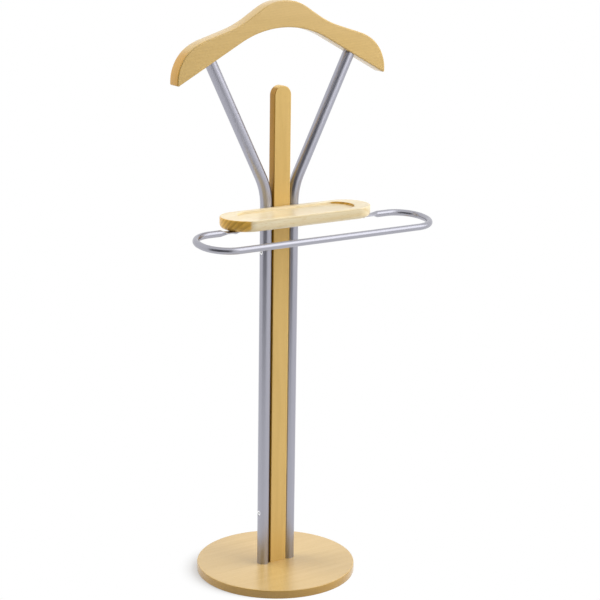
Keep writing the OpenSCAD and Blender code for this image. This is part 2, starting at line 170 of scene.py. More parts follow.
base_low, base_high = mm_box("base_plate")
slat_low, slat_high = mm_box("centre_slat")
tube_low, tube_high = mm_box("right_tube")
hanger_low, hanger_high = mm_box("hanger_board")
tray_low, tray_high = mm_box("tray")
bar_high = mm_box("trouser_bar")[1]
felt_high = mm_box("centre_felt")[1]
rim_felts_high = mm_box("rim_felts")[1]

base_bottom = base_low.z
base_top = base_high.z
base_r = base_high.x
slat_w = slat_high.x - slat_low.x
slat_t = slat_high.y - slat_low.y
tube_r = tube_high.y
tube_x = tube_low.x + tube_r
tube_out_x = tube_x + tube_r
hanger_w = hanger_high.x - hanger_low.x
hanger_t = hanger_high.y - hanger_low.y
hanger_top = hanger_high.z
tray_len = tray_high.x - tray_low.x
tray_depth = tray_high.y - tray_low.y
tray_y = (tray_high.y + tray_low.y) / 2
tray_bottom = tray_low.z
tray_top = tray_high.z
bar_y = tray_y - BAR_SETBACK
bar_z = tray_bottom - LUG_T / 2
bar_side_x = bar_high.x - BAR_D / 2
head_x = tube_x + math.sqrt((2 * tube_r) ** 2 - COLUMN_HEAD_D ** 2) / 2


def turned(degrees):
    """Unit vector (u, v) at an angle from +u."""
    return Vector((math.cos(math.radians(degrees)), math.sin(math.radians(degrees))))


lean = math.radians(TUBE_LEAN)
flank = math.radians(FLANK_SLOPE)
bend_start_z = TUBE_BEND_Z - TUBE_BEND_R * math.tan(lean / 2)
bend_end = Vector((tube_x + TUBE_BEND_R * (1 - math.cos(lean)), bend_start_z + TUBE_BEND_R * math.sin(lean)))
arch_top = hanger_top - CROWN_H
flank_start = Vector((ARCH_R * math.sin(flank), arch_top - ARCH_R * (1 - math.cos(flank))))
flank_z0 = flank_start.y + flank_start.x * math.tan(flank)
lean_len = ((flank_z0 - bend_end.x * math.tan(flank) - bend_end.y)
            / (math.cos(lean) + math.sin(lean) * math.tan(flank)))
tube_top = bend_end + lean_len * Vector((math.sin(lean), math.cos(lean)))
lug_screw_x = tray_len / 2 - LUG_SCREW_INSET
tray_screw_z = tray_bottom + TRAY_SCREW_RISE

# ---- Outlines ----


def walk(start, heading, steps, arc_step=ARC_STEP):
    """Points and headings along a chain of (length or radius, turn) steps, the start included."""
    point = Vector(start)
    track = [(point.copy(), heading)]
    for size, turn in steps:
        if turn == 0:
            point = point + size * turned(heading)
            track.append((point.copy(), heading))
            continue
        side = math.copysign(90, turn)
        centre = point + size * turned(heading + side)
        parts = math.ceil(abs(turn) / arc_step)
        for k in range(1, parts + 1):
            point = centre - size * turned(heading + turn * k / parts + side)
            track.append((point.copy(), heading + turn * k / parts))
        heading += turn
    return track


def points_of(track):
    """A track without its headings."""
    return [point for point, heading in track]


def inset(outline, distance):
    """The closed outline moved inwards by a distance, corner by corner."""
    count = len(outline)
    area = sum(outline[i - 1].cross(outline[i]) for i in range(count))
    inwards = 1 if area > 0 else -1
    moved = []
    for i, point in enumerate(outline):
        before = (point - outline[i - 1]).normalized()
        after = (outline[(i + 1) % count] - point).normalized()
        normals = [inwards * Vector((-d.y, d.x)) for d in (before, after)]
        moved.append(point + distance * (normals[0] + normals[1]) / (1 + normals[0].dot(normals[1])))
    return moved


def stadium(total_len, width):
    """Stadium along u, centred on the origin."""
    straight = total_len - width
    steps = [(straight, 0), (width / 2, 180), (straight, 0), (width / 2, 180)]
    return points_of(walk((-straight / 2, -width / 2), 0, steps))[:-1]


def circle(radius, sides, shift=0.0):
    """Circle of that many sides, turned by a share of one side."""
    return [radius * turned(360 * (i + shift) / sides) for i in range(sides)]


def along_edges(corners, sides):
    """Points along a closed polygon, as many as a circle of that many sides."""
    per_edge = sides // len(corners)
    return [corners[i // per_edge].lerp(corners[(i // per_edge + 1) % len(corners)], i % per_edge / per_edge)
            for i in range(sides)]


def quarter():
    """Unit vectors along a quarter turn, for a rounded edge."""
    return [turned(90 * k / EDGE_STEPS) for k in range(EDGE_STEPS + 1)]


def edge_profile(thickness, low_r, high_r):
    """(inset, height) pairs up the side of a board with rounded edges, with a guard ring at either face."""
    low = [(low_r * (1 - rim.y), low_r * (1 - rim.x)) for rim in quarter()]
    high = [(high_r * (1 - rim.x), thickness - high_r * (1 - rim.y)) for rim in quarter()]
    return [(low_r + GUARD, 0.0), *low, *high, (high_r + GUARD, thickness)]


# ---- Meshes ----


def linked_object(name, builder):
    """New object in the scene from a bmesh."""
    mesh = bpy.data.meshes.new(name)
    builder.to_mesh(mesh)
    builder.free()
    made = bpy.data.objects.new(name, mesh)
    bpy.context.scene.collection.objects.link(made)
    return made


def solid(name, builder):
    """New object from a closed bmesh in millimetres."""
    bmesh.ops.recalc_face_normals(builder, faces=builder.faces)
    bmesh.ops.scale(builder, vec=(MM, MM, MM), verts=builder.verts)
    return linked_object(name, builder)


def piece(name, builder):
    """New solid that rides on the one body."""
    made = solid(name, builder)
    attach(made, "root")
    return made


def loft(rings, ring_closed=False):
    """Closed surface through rings of equally many points: capped at both ends, or joined end to end."""
    builder = bmesh.new()
    add_loft(builder, rings, ring_closed)
    return builder


def add_loft(builder, rings, ring_closed=False):
    """Adds such a surface to a bmesh."""
    rows = [[builder.verts.new(point) for point in ring] for ring in rings]
    count = len(rows[0])
    pairs = list(zip(rows, rows[1:]))
    if ring_closed:
        pairs.append((rows[-1], rows[0]))
    for low, high in pairs:
        for i in range(count):
            j = (i + 1) % count
            builder.faces.new((low[i], low[j], high[j], high[i]))
    if not ring_closed:
        builder.faces.new(rows[0])
        builder.faces.new(rows[-1])


def level(outline, z, y=0.0):
    """Outline as a ring at height z, around (0, y)."""
    return [Vector((p.x, p.y + y, z)) for p in outline]


def upright(outline, y):
    """Outline as a ring in the upright plane at y."""
    return [Vector((p.x, y, p.y)) for p in outline]


def turned_rings(profile):
    """Rings of a turned shape, from (radius, height) pairs."""
    return [level(circle(radius, SCREW_SIDES), height) for radius, height in profile]


def placed(rings, place):
    """Rings moved to a place."""
    return [[place @ point for point in ring] for ring in rings]


def lofts(rings_list):
    """Several closed surfaces in one bmesh."""
    builder = bmesh.new()
    for rings in rings_list:
        add_loft(builder, rings)
    return builder


def copies(rings, places):
    """The same closed surface at several places, in one bmesh."""
    return lofts([placed(rings, place) for place in places])


def carve(made, rings_list):
    """Cuts closed lofts out of a piece, for good."""
    tool = solid("cutter", lofts(rings_list))
    modifier = made.modifiers.new("carve", "BOOLEAN")
    modifier.operation = "DIFFERENCE"
    modifier.solver = "EXACT"
    modifier.object = tool
    bpy.context.view_layer.update()
    evaluated = made.evaluated_get(bpy.context.evaluated_depsgraph_get())
    carved = bpy.data.meshes.new_from_object(evaluated)
    made.modifiers.clear()
    plain = made.data
    made.data = carved
    bpy.data.meshes.remove(plain)
    carved.name = made.name
    bpy.data.objects.remove(tool)


def finish_piece(made, material, *nodes):
    """Shading, material and the CAD nodes that the piece stands for."""
    made.data.shade_smooth()
    made.data.set_sharp_from_angle(angle=math.radians(SHARP_ANGLE))
    made.data.materials.clear()
    made.data.materials.append(material)
    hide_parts(*nodes)
    return made


def across_column(z):
    """Place at a height on the middle line that turns +Z to +X."""
    return Matrix.Translation((0, 0, z)) @ Matrix.Rotation(math.radians(90), 4, "Y")


def from_back(x, y, z):
    """Place that turns +Z to the front, for screws driven from the back."""
    return Matrix.Translation((x, y, z)) @ Matrix.Rotation(math.radians(90), 4, "X")


def head_down(x, y, z):
    """Place that turns +Z down, for screws modelled with their head on top."""
    return Matrix.Translation((x, y, z)) @ Matrix.Rotation(math.radians(180), 4, "X")


def at_tube_top(side):
    """Leaning place of a tube's end: its origin where the centre line meets the hanger's underside."""
    return (Matrix.Translation((side * tube_top.x, 0, tube_top.y))
            @ Matrix.Rotation(side * lean, 4, "Y"))


def hanger_screw_place(side):
    return at_tube_top(side) @ from_back(0, hanger_t / 2, NOSE_LEN / 2)


def slat_screw_place(side):
    return Matrix.Translation((side * SLAT_SCREW_PITCH / 2, 0, base_bottom))


def tray_screw_place(side):
    return from_back(side * TRAY_SCREW_PITCH / 2, slat_t / 2, tray_screw_z)


def lug_screw_place(side):
    """Where a bar screw crosses the tray's underside."""
    return Matrix.Translation((side * lug_screw_x, bar_y, tray_bottom))


def column_place(side, z):
    """Place of a column fastener: the face of its head at the origin, pointing to the middle."""
    return Matrix.Translation((side * head_x, 0, z)) @ Matrix.Rotation(math.radians(-side * 90), 4, "Y")


def round_hole(diameter, start, end, place):
    """Cutter for a plain hole along the place's Z."""
    return placed(turned_rings([(diameter / 2, start), (diameter / 2, end)]), place)


def countersunk_hole(diameter, length, clear, place):
    """Cutter for a countersunk screw that points along the place's +Z."""
    mouth_r = diameter + clear + OVERCUT / (2 * COUNTERSINK)
    shank_r = diameter / 2 + clear
    profile = [(mouth_r, -OVERCUT), (shank_r, COUNTERSINK * diameter), (shank_r, length + FIT_CLEAR)]
    return placed(turned_rings(profile), place)


def slat_screw_hole(side):
    return countersunk_hole(SLAT_SCREW_D, SLAT_SCREW_LEN, FIT_CLEAR, slat_screw_place(side))


def tray_screw_hole(side, clear):
    return countersunk_hole(TRAY_SCREW_D, TRAY_SCREW_LEN, clear, tray_screw_place(side))


def hanger_screw_hole(side):
    return countersunk_hole(HANGER_SCREW_D, HANGER_SCREW_LEN, FIT_CLEAR, hanger_screw_place(side))


# ---- Wooden pieces ----


def base_plate(material):
    """Round base, drilled from below for the tubes' bolts and the slat's screws."""
    outline = circle(base_r, BASE_SIDES)
    profile = edge_profile(base_top - base_bottom, BASE_BOTTOM_R, BASE_TOP_R)
    rings = [level(inset(outline, d), base_bottom + h) for d, h in profile]
    made = piece("base_disc", loft(rings))
    bolt_r = BASE_BOLT_D / 2 + HOLE_CLEAR
    bolt_hole = turned_rings([(CBORE_D / 2, -OVERCUT), (CBORE_D / 2, CBORE_DEPTH),
                              (bolt_r, CBORE_DEPTH), (bolt_r, base_top)])
    holes = []
    for side in LEFT_RIGHT:
        holes.append(placed(bolt_hole, Matrix.Translation((side * tube_x, 0, base_bottom))))
        holes.append(slat_screw_hole(side))
    carve(made, holes)
    return finish_piece(made, material, "base_plate")


def centre_slat(material):
    """Upright slat with a round top. It is lofted a little past its foot, which is then cut square."""
    start = (slat_w / 2, base_top - slat_t)
    straight = slat_high.z - slat_w / 2 - start[1]
    outline = points_of(walk(start, 90, [(straight, 0), (slat_w / 2, 180), (straight, 0)]))
    profile = edge_profile(slat_t, SLAT_EDGE_R, SLAT_EDGE_R)
    builder = loft([upright(inset(outline, d), h - slat_t / 2) for d, h in profile])
    everything = builder.verts[:] + builder.edges[:] + builder.faces[:]
    bmesh.ops.bisect_plane(builder, geom=everything, plane_co=(0, 0, base_top), plane_no=(0, 0, -1),
                           clear_outer=True)
    bmesh.ops.holes_fill(builder, edges=[e for e in builder.edges if e.is_boundary])
    made = piece("centre_slat_board", builder)
    bolt_d = COLUMN_BOLT_D + 2 * HOLE_CLEAR
    holes = [round_hole(bolt_d, -slat_w, slat_w, across_column(z)) for z in COLUMN_BOLT_ZS]
    for side in LEFT_RIGHT:
        holes += [slat_screw_hole(side), tray_screw_hole(side, HOLE_CLEAR)]
    carve(made, holes)
    return finish_piece(made, material, "centre_slat")


def hanger_outline():
    """Front view of the hanger board, as (x, z)."""
    end_x = hanger_w / 2
    neck, shoulder, tip = (math.radians(slope) for slope in (NECK_SLOPE, SHOULDER_SLOPE, TIP_SLOPE))
    other_reach = (CROWN_R * math.sin(neck) + NECK_LEN * math.cos(neck)
                   + NECK_R * (math.sin(neck) - math.sin(shoulder))
                   + SHOULDER_R * (math.sin(tip) - math.sin(shoulder))
                   + TIP_R * (1 - math.sin(tip)))
    shoulder_len = (end_x - other_reach) / math.cos(shoulder)
    upper = walk((0, hanger_top), 0, [
        (CROWN_R, -NECK_SLOPE), (NECK_LEN, 0), (NECK_R, NECK_SLOPE - SHOULDER_SLOPE), (shoulder_len, 0),
        (SHOULDER_R, SHOULDER_SLOPE - TIP_SLOPE), (TIP_R, TIP_SLOPE - 90)])
    corner = Vector((end_x, flank_z0 - end_x * math.tan(flank)))
    cut_back = TIP_CORNER_R * math.tan((math.radians(90) + flank) / 2)
    last_point, last_heading = upper[-1]
    lower = walk(last_point, last_heading, [
        (last_point.y - corner.y - cut_back, 0), (TIP_CORNER_R, -90 - FLANK_SLOPE),
        ((corner - flank_start).length - cut_back, 0), (ARCH_R, FLANK_SLOPE)])
    right = points_of(upper) + points_of(lower)[1:]
    left = [Vector((-p.x, p.y)) for p in reversed(right[1:-1])]
    return right + left


def hanger_board(material):
    """Shaped board with a blind hole for each tube's plug and a screw hole across it."""
    outline = hanger_outline()
    profile = edge_profile(hanger_t, HANGER_EDGE_R, HANGER_EDGE_R)
    rings = [upright(inset(outline, d), h - hanger_t / 2) for d, h in profile]
    made = piece("hanger", loft(rings))
    nose_d = NOSE_D + 2 * FIT_CLEAR
    for side in LEFT_RIGHT:
        carve(made, [round_hole(nose_d, -NOSE_D, NOSE_LEN + FIT_CLEAR, at_tube_top(side))])
        carve(made, [hanger_screw_hole(side)])
    return finish_piece(made, material, "hanger_board")


def tray(material):
    """Shallow tray: rounded outside, flat rim, and a recess with an eased lip and a small cove."""
    outside = stadium(tray_len, tray_depth)
    recess = stadium(RECESS_LEN, RECESS_W)
    floor_z = tray_top - RECESS_DEPTH
    shell = edge_profile(tray_top - tray_bottom, TRAY_BOTTOM_R, TRAY_TOP_R)
    lip = [(-RECESS_LIP_R * (1 - rim.y), tray_top - RECESS_LIP_R * (1 - rim.x)) for rim in quarter()]
    cove = [(RECESS_FLOOR_R * (1 - rim.x), floor_z + RECESS_FLOOR_R * (1 - rim.y)) for rim in quarter()]
    hollow = [(-RECESS_LIP_R - GUARD, tray_top), *lip, *cove, (RECESS_FLOOR_R + GUARD, floor_z)]
    rings = [level(inset(outside, d), tray_bottom + h, tray_y) for d, h in shell]
    rings += [level(inset(recess, d), z, tray_y) for d, z in hollow]
    made = piece("tray_board", loft(rings))
    bar_screw_d = BAR_SCREW_D + 2 * FIT_CLEAR
    holes = []
    for side in LEFT_RIGHT:
        holes.append(tray_screw_hole(side, FIT_CLEAR))
        holes.append(round_hole(bar_screw_d, -OVERCUT, BAR_SCREW_GRIP + FIT_CLEAR, lug_screw_place(side)))
    carve(made, holes)
    return finish_piece(made, material, "tray")


# ---- Metal pieces ----


def column_hole(side, shank_d, z):
    """Cutter for a countersunk cross hole through both walls of a tube."""
    shank_r = shank_d / 2 + HOLE_CLEAR
    mouth_r = COLUMN_HEAD_D / 2 + COLUMN_HEAD_GAP
    profile = [(mouth_r, -OVERCUT - tube_out_x + head_x), (mouth_r, 0.0), (shank_r, mouth_r - shank_r),
               (shank_r, head_x - slat_w / 2 + OVERCUT)]
    return placed(turned_rings(profile), column_place(side, z))


def bent_tube(name, side, shank_d, material, node):
    """Hollow tube: up, out through the bend, and up to the hanger's slanting underside."""
    track = walk((tube_x, base_top), 90, [
        (bend_start_z - base_top, 0), (TUBE_BEND_R, -TUBE_LEAN), (lean_len, 0)], BEND_STEP)

    def skin(radius):
        section = circle(radius, TUBE_SIDES, shift=0.5)    # no corner on the line of the cross holes
        rings = []
        for point, heading in track:
            out = turned(heading - 90)
            rings.append([Vector((point.x + out.x * c.x, c.y, point.y + out.y * c.x)) for c in section])
        axis = turned(track[-1][1])
        for vertex in rings[-1]:
            rise = flank_z0 - vertex.x * math.tan(flank) - vertex.z
            slide = rise / (axis.y + axis.x * math.tan(flank))
            vertex.x += slide * axis.x
            vertex.z += slide * axis.y
        return rings

    rings = skin(tube_r) + skin(tube_r - TUBE_WALL)[::-1]
    for ring in rings:
        for vertex in ring:
            vertex.x *= side
    made = piece(name, loft(rings, ring_closed=True))
    carve(made, [column_hole(side, shank_d, z) for z in COLUMN_BOLT_ZS])
    return finish_piece(made, material, node)


def flattened(width, height):
    """Section of a flattened tube: a circle pulled apart sideways."""
    section = []
    for c in circle(1, BAR_SIDES, shift=0.5):
        spread = math.copysign((width - height) / 2, c.x)
        section.append((spread + height / 2 * c.x, height / 2 * c.y))
    return section


def ease(t):
    """Share of the way from 0 to 1, slow at both ends."""
    return t * t * (3 - 2 * t)


def swell(t):
    """Share of the full thickness along the taper: nearly a straight slope, eased at both ends."""
    straight_share = 0.75
    return straight_share * t + (1 - straight_share) * ease(t)


def lug_sections():
    """(distance from the lug's tip, section) pairs from the tip to the round part."""
    sections = []
    tip_r = LUG_W / 2
    first = math.degrees(math.asin(LUG_T / LUG_W))
    for k in range(TIP_STEPS + 1):
        half = turned(first + (90 - first) * k / TIP_STEPS)
        sections.append((tip_r * (1 - half.x), flattened(2 * tip_r * half.y, LUG_T)))
    flat_len = LUG_TIP + LUG_SCREW_INSET + LUG_SHOW
    for k in range(TAPER_STEPS + 1):
        t = k / TAPER_STEPS
        width = LUG_W + (BAR_D - LUG_W) * ease(t)
        thickness = LUG_T + (BAR_D - LUG_T) * swell(t)
        sections.append((flat_len + LUG_TAPER * t, flattened(width, thickness)))
    return sections


def trouser_bar(material):
    """One bent tube: flattened end, back run, side, front run, side, back run, flattened end.
    The loop slopes down to the front; the flattened ends stay level."""
    tip_x = lug_screw_x - LUG_TIP
    corner_x = bar_side_x - BAR_CORNER_R
    lug = lug_sections()
    round_x = tip_x + lug[-1][0]
    end_run = (corner_x - round_x, 0)
    turn_back = [(BAR_CORNER_R, -90), (BAR_REACH - 2 * BAR_CORNER_R, 0), (BAR_CORNER_R, -90)]
    track = walk((round_x, 0), 0, [end_run, *turn_back, (2 * corner_x, 0), *turn_back, end_run], BEND_STEP)
    round_section = flattened(BAR_D, BAR_D)
    loop = []
    for point, heading in track:
        out = turned(heading + 90)
        loop.append([Vector((point.x + a * out.x, point.y + a * out.y, b)) for a, b in round_section])
    ends = lug[:-1]    # their last section is the loop's own first ring
    right_end = [[Vector((tip_x + s, a, b)) for a, b in section] for s, section in ends]
    left_end = [[Vector((-tip_x - s, a, b)) for a, b in section] for s, section in reversed(ends)]
    back_run = Matrix.Translation((0, bar_y, bar_z))
    slope = back_run @ Matrix.Rotation(math.radians(BAR_DROOP), 4, "X")
    rings = placed(right_end, back_run) + placed(loop, slope) + placed(left_end, back_run)
    made = piece("trouser_bar_tube", loft(rings))
    screw_d = BAR_SCREW_D + 2 * HOLE_CLEAR
    through = (screw_d, -LUG_T - OVERCUT, OVERCUT)
    carve(made, [round_hole(*through, lug_screw_place(side)) for side in LEFT_RIGHT])
    return finish_piece(made, material, "trouser_bar")


def hex_corner_r(key):
    """Distance from the middle of a hexagon to its corners, from the distance between its flats."""
    return key / 2 / math.cos(math.pi / HEX_CORNERS)


def hex_ring(key, height):
    """Outline of a key's hexagon, as many points as a head's circle."""
    return level(along_edges(circle(hex_corner_r(key), HEX_CORNERS), SCREW_SIDES), height)


def socket_rings(face_z, key, depth):
    """Key socket going down from a head's face, with a small lead-in."""
    lead = 0.25
    floor_r = key / 3
    return [hex_ring(key + 2 * lead, face_z), hex_ring(key, face_z - lead), hex_ring(key, face_z - depth),
            level(circle(floor_r, SCREW_SIDES), face_z - depth)]


def rounded_head(diameter, height, edge_r):
    """(radius, height) pairs of a head, from its seat at height 0 to the rim of its face."""
    rims = [(diameter / 2 - edge_r * (1 - rim.x), height - edge_r * (1 - rim.y)) for rim in quarter()]
    return [(diameter / 2, 0.0), *rims]


def sunk_head(shank_d):
    """(radius, height) pairs of a countersunk head, from its shank out to the rim of its face at height 0."""
    rim = COLUMN_HEAD_D / 2
    bevel = 0.15
    return [(shank_d / 2, rim - shank_d / 2), (rim - bevel, bevel), (rim - bevel, 0.0)]


def socket_in_face():
    """Key socket that goes up from a face at height 0."""
    return [[Vector((p.x, p.y, -p.z)) for p in ring] for ring in socket_rings(0.0, COLUMN_KEY, COLUMN_SOCKET)]


def shade_sockets(made, material):
    """Gives the faces of the key sockets a near-black metal: painted shade for the shade that lies in them.
    """
    made.data.materials.append(material)
    socket_r = MM * (hex_corner_r(COLUMN_KEY) + GUARD)
    for face in made.data.polygons:
        corners = [made.data.vertices[i].co for i in face.vertices]
        level_z = min(COLUMN_BOLT_ZS, key=lambda z: abs(z * MM - corners[0].z)) * MM
        if all(math.hypot(c.y, c.z - level_z) < socket_r and abs(c.x) > (head_x - 2 * COLUMN_SOCKET) * MM
               for c in corners):
            face.material_index = 1
    return made


def column_bolts(material):
    """Countersunk bolts through tubes and slat, their heads on the left."""
    shank_r = COLUMN_BOLT_D / 2
    length = 2 * head_x - 2 * COLUMN_SOCKET
    chamfer = 0.8
    profile = [(shank_r - chamfer, length), (shank_r, length - chamfer), *sunk_head(COLUMN_BOLT_D)]
    rings = turned_rings(profile) + socket_in_face()
    bolts = copies(rings, [column_place(-1, z) for z in COLUMN_BOLT_ZS])
    return finish_piece(piece("column_bolt_pair", bolts), material, "column_bolts")


def sleeve_nuts(material):
    """Sleeve nuts on the right, with the same heads as the bolts."""
    bore_r = COLUMN_BOLT_D / 2 + FIT_CLEAR
    length = head_x - tube_x + tube_r
    profile = [(bore_r, 2 * COLUMN_SOCKET - FIT_CLEAR), (bore_r, length), (SLEEVE_D / 2, length),
               *sunk_head(SLEEVE_D)]
    rings = turned_rings(profile) + socket_in_face()
    nuts = copies(rings, [column_place(1, z) for z in COLUMN_BOLT_ZS])
    return finish_piece(piece("sleeve_nut_pair", nuts), material, "sleeve_nuts")


def base_bolts(material):
    """Socket-head bolts from the counterbores into the tubes, heads down."""
    seat_z = base_bottom + CBORE_DEPTH - WASHER_T
    shank_r = BASE_BOLT_D / 2
    reach = base_top + BASE_BOLT_GRIP - seat_z
    chamfer = 1.0
    profile = [(shank_r - chamfer, -reach), (shank_r, chamfer - reach), (shank_r, 0.0),
               *rounded_head(BASE_BOLT_HEAD_D, BASE_BOLT_HEAD_H, BASE_BOLT_HEAD_EDGE_R)]
    rings = turned_rings(profile) + socket_rings(BASE_BOLT_HEAD_H, BASE_BOLT_KEY, BASE_BOLT_SOCKET)
    bolts = copies(rings, [head_down(side * tube_x, 0, seat_z) for side in LEFT_RIGHT])
    return finish_piece(piece("base_bolt_pair", bolts), material, "base_bolts")


def cross_ring(arm, side, z):
    """Outline of a cross with arms that far out and that half-width, as many points as a head's circle."""
    corners = []
    for quarter_turn in range(4):
        spin = Matrix.Rotation(math.radians(90 * quarter_turn), 2)
        corners += [spin @ Vector(corner) for corner in ((arm, -side), (arm, side), (side, side))]
    return level(along_edges(corners, SCREW_SIDES), z)


def cross_recess(width, top_z, bottom_z):
    """Rings of a cross recess from the face of a head to its narrow bottom."""
    half_blade = 0.11 * width
    bottom_arm = 0.22 * width
    bottom_half_blade = 0.7 * half_blade
    middle_r = 0.05 * width
    return [cross_ring(width / 2, half_blade, top_z), cross_ring(bottom_arm, bottom_half_blade, bottom_z),
            level(circle(middle_r, SCREW_SIDES), bottom_z)]


def wood_screws(name, diameter, length, place_of, material, node):
    """Pair of countersunk screws with cross recesses, heads at their places and points along +Z."""
    shank_r = diameter / 2
    tip_r = 0.2 * shank_r
    lip = 0.2
    cross_width = 1.05 * diameter
    cross_depth = 0.45 * diameter
    profile = [(tip_r, length), (shank_r, length - diameter), (shank_r, COUNTERSINK * diameter),
               (diameter, lip), (diameter, 0.0), (diameter - GUARD, 0.0)]
    rings = turned_rings(profile) + cross_recess(cross_width, 0.0, cross_depth)
    screws = copies(rings, [place_of(side) for side in LEFT_RIGHT])
    return finish_piece(piece(name, screws), material, node)


def bar_screws(material):
    """Pan-head screws that hold the bar's flattened ends under the tray."""
    shank_r = BAR_SCREW_D / 2
    tip_r = 0.4
    reach = LUG_T + BAR_SCREW_GRIP
    point_len = 3.0
    profile = [(tip_r, -reach), (shank_r, point_len - reach), (shank_r, 0.0),
               *rounded_head(BAR_SCREW_HEAD_D, BAR_SCREW_HEAD_H, BAR_SCREW_HEAD_EDGE_R)]
    recess = cross_recess(BAR_SCREW_CROSS_W, BAR_SCREW_HEAD_H, BAR_SCREW_HEAD_H - BAR_SCREW_CROSS_DEPTH)
    places = [head_down(side * lug_screw_x, bar_y, tray_bottom - LUG_T) for side in LEFT_RIGHT]
    screws = copies(turned_rings(profile) + recess, places)
    return finish_piece(piece("bar_screw_pair", screws), material, "bar_screws")


def felt_discs(name, radius, places, material, node):
    """Felt discs under the base, with soft lower edges."""
    outline = circle(radius, FELT_SIDES)
    profile = edge_profile(felt_high.z, FELT_LOW_EDGE_R, FELT_TOP_EDGE_R)
    rings = [level(inset(outline, d), h) for d, h in profile]
    discs = copies(rings, [Matrix.Translation((*at, 0)) for at in places])
    return finish_piece(piece(name, discs), material, node)


def rim_places():
    """Middles of the four felt pads near the base's rim."""
    reach = (rim_felts_high.x - RIM_FELT_R) * math.sqrt(2)
    return [reach * turned(45 + 90 * i) for i in range(4)]


# ---- Materials ----


class Tree:
    """The shader nodes of a material or of the world, with short calls to add more."""

    def __init__(self, owner):
        owner.use_nodes = True
        self.nodes = owner.node_tree.nodes
        self.links = owner.node_tree.links

    def feed(self, node_inputs, values):
        """Sets inputs of a node by name or number, each to a value or to another node's output."""
        for key, value in values.items():
            if isinstance(value, bpy.types.NodeSocket):
                self.links.new(value, node_inputs[key])
            else:
                node_inputs[key].default_value = value

    def add(self, kind, values, output=0, **settings):
        """New node with those input values and settings, of which one output is given back."""
        made = self.nodes.new("ShaderNode" + kind)
        for name, setting in settings.items():
            setattr(made, name, setting)
        self.feed(made.inputs, values)
        return made.outputs[output]

    def shade(self, values):
        """Sets inputs of the material's own shader."""
        self.feed(self.nodes["Principled BSDF"].inputs, values)

    def replace_shader(self, shader):
        """Puts another shader in the place of the material's own."""
        self.links.new(shader, self.nodes["Material Output"].inputs["Surface"])
        self.nodes.remove(self.nodes["Principled BSDF"])

    def math(self, operation, a, b=0.0):
        return self.add("Math", {0: a, 1: b}, operation=operation)

    def blend(self, first, second, first_share):
        """Sum of two values, which take that share and the rest."""
        return self.math("ADD", self.math("MULTIPLY", first, first_share),
                         self.math("MULTIPLY", second, 1 - first_share))

    def mix(self, factor, a, b, blend_type="MIX"):
        """Mix of two colours."""
        return self.add("Mix", {0: factor, 6: a, 7: b}, output=2, data_type="RGBA", blend_type=blend_type)

    def split(self, vector):
        """The x, y and z of a vector."""
        return self.add("SeparateXYZ", {"Vector": vector}).node.outputs

    def scaled(self, coordinates, scale, offset=(0, 0, 0), rotation=(0, 0, 0)):
        """Coordinates for a pattern with that many features per metre along x, y and z."""
        return self.add("Mapping", {"Vector": coordinates, "Scale": scale, "Location": offset,
                                    "Rotation": rotation})

    def noise(self, coordinates, detail=2.0, roughness=0.5):
        return self.add("TexNoise", {"Vector": coordinates, "Scale": 1.0, "Detail": detail,
                                     "Roughness": roughness})

    def span(self, value, low, high, to_low=0.0, to_high=1.0):
        """Value taken smoothly from one range to another."""
        return self.add("MapRange", {"Value": value, "From Min": low, "From Max": high, "To Min": to_low,
                                     "To Max": to_high}, interpolation_type="SMOOTHSTEP")

    def ramp(self, factor, stops):
        """Colour ramp through (position, colour) stops."""
        made = self.nodes.new("ShaderNodeValToRGB")
        elements = made.color_ramp.elements
        for _ in stops[2:]:
            elements.new(0.5)
        for element, (position, colour) in zip(elements, stops):
            element.position = position
            element.color = (*colour, 1.0)
        self.links.new(factor, made.inputs[0])
        return made.outputs[0]

    def bump(self, height, strength, distance):
        return self.add("Bump", {"Strength": strength, "Distance": distance, "Height": height})

    def coordinates(self):
        """Place in object space, in metres."""
        return self.add("TexCoord", {}, output="Object")

    def seen_rays(self):
        """1 for what the camera or a mirroring or clear surface sees, and 0 for the light on the rest."""
        rays = self.nodes.new("ShaderNodeLightPath").outputs
        return self.math("MAXIMUM", self.math("MAXIMUM", rays["Is Camera Ray"], rays["Is Glossy Ray"]),
                         rays["Is Transmission Ray"])


def tinted(colour, share):
    """Colour darkened to a share."""
    return tuple(c * share for c in colour)


# Features per metre in the layers of the wood, along the grain and twice across it, and two layers' weights
WAVER_SCALE = (1.6, 7, 7)
WAVER_REACH = 0.02     # metres by which the growth rings wander
STREAK_SCALE = (4, 60, 60)
FIBRE_SCALE = (30, 1100, 1100)
FIBRE_SHARE = 0.28
FLECK_SCALE = (170, 1100, 1100)
PATCH_SCALE = (3, 12, 12)
PATCH_SHARE = 0.22


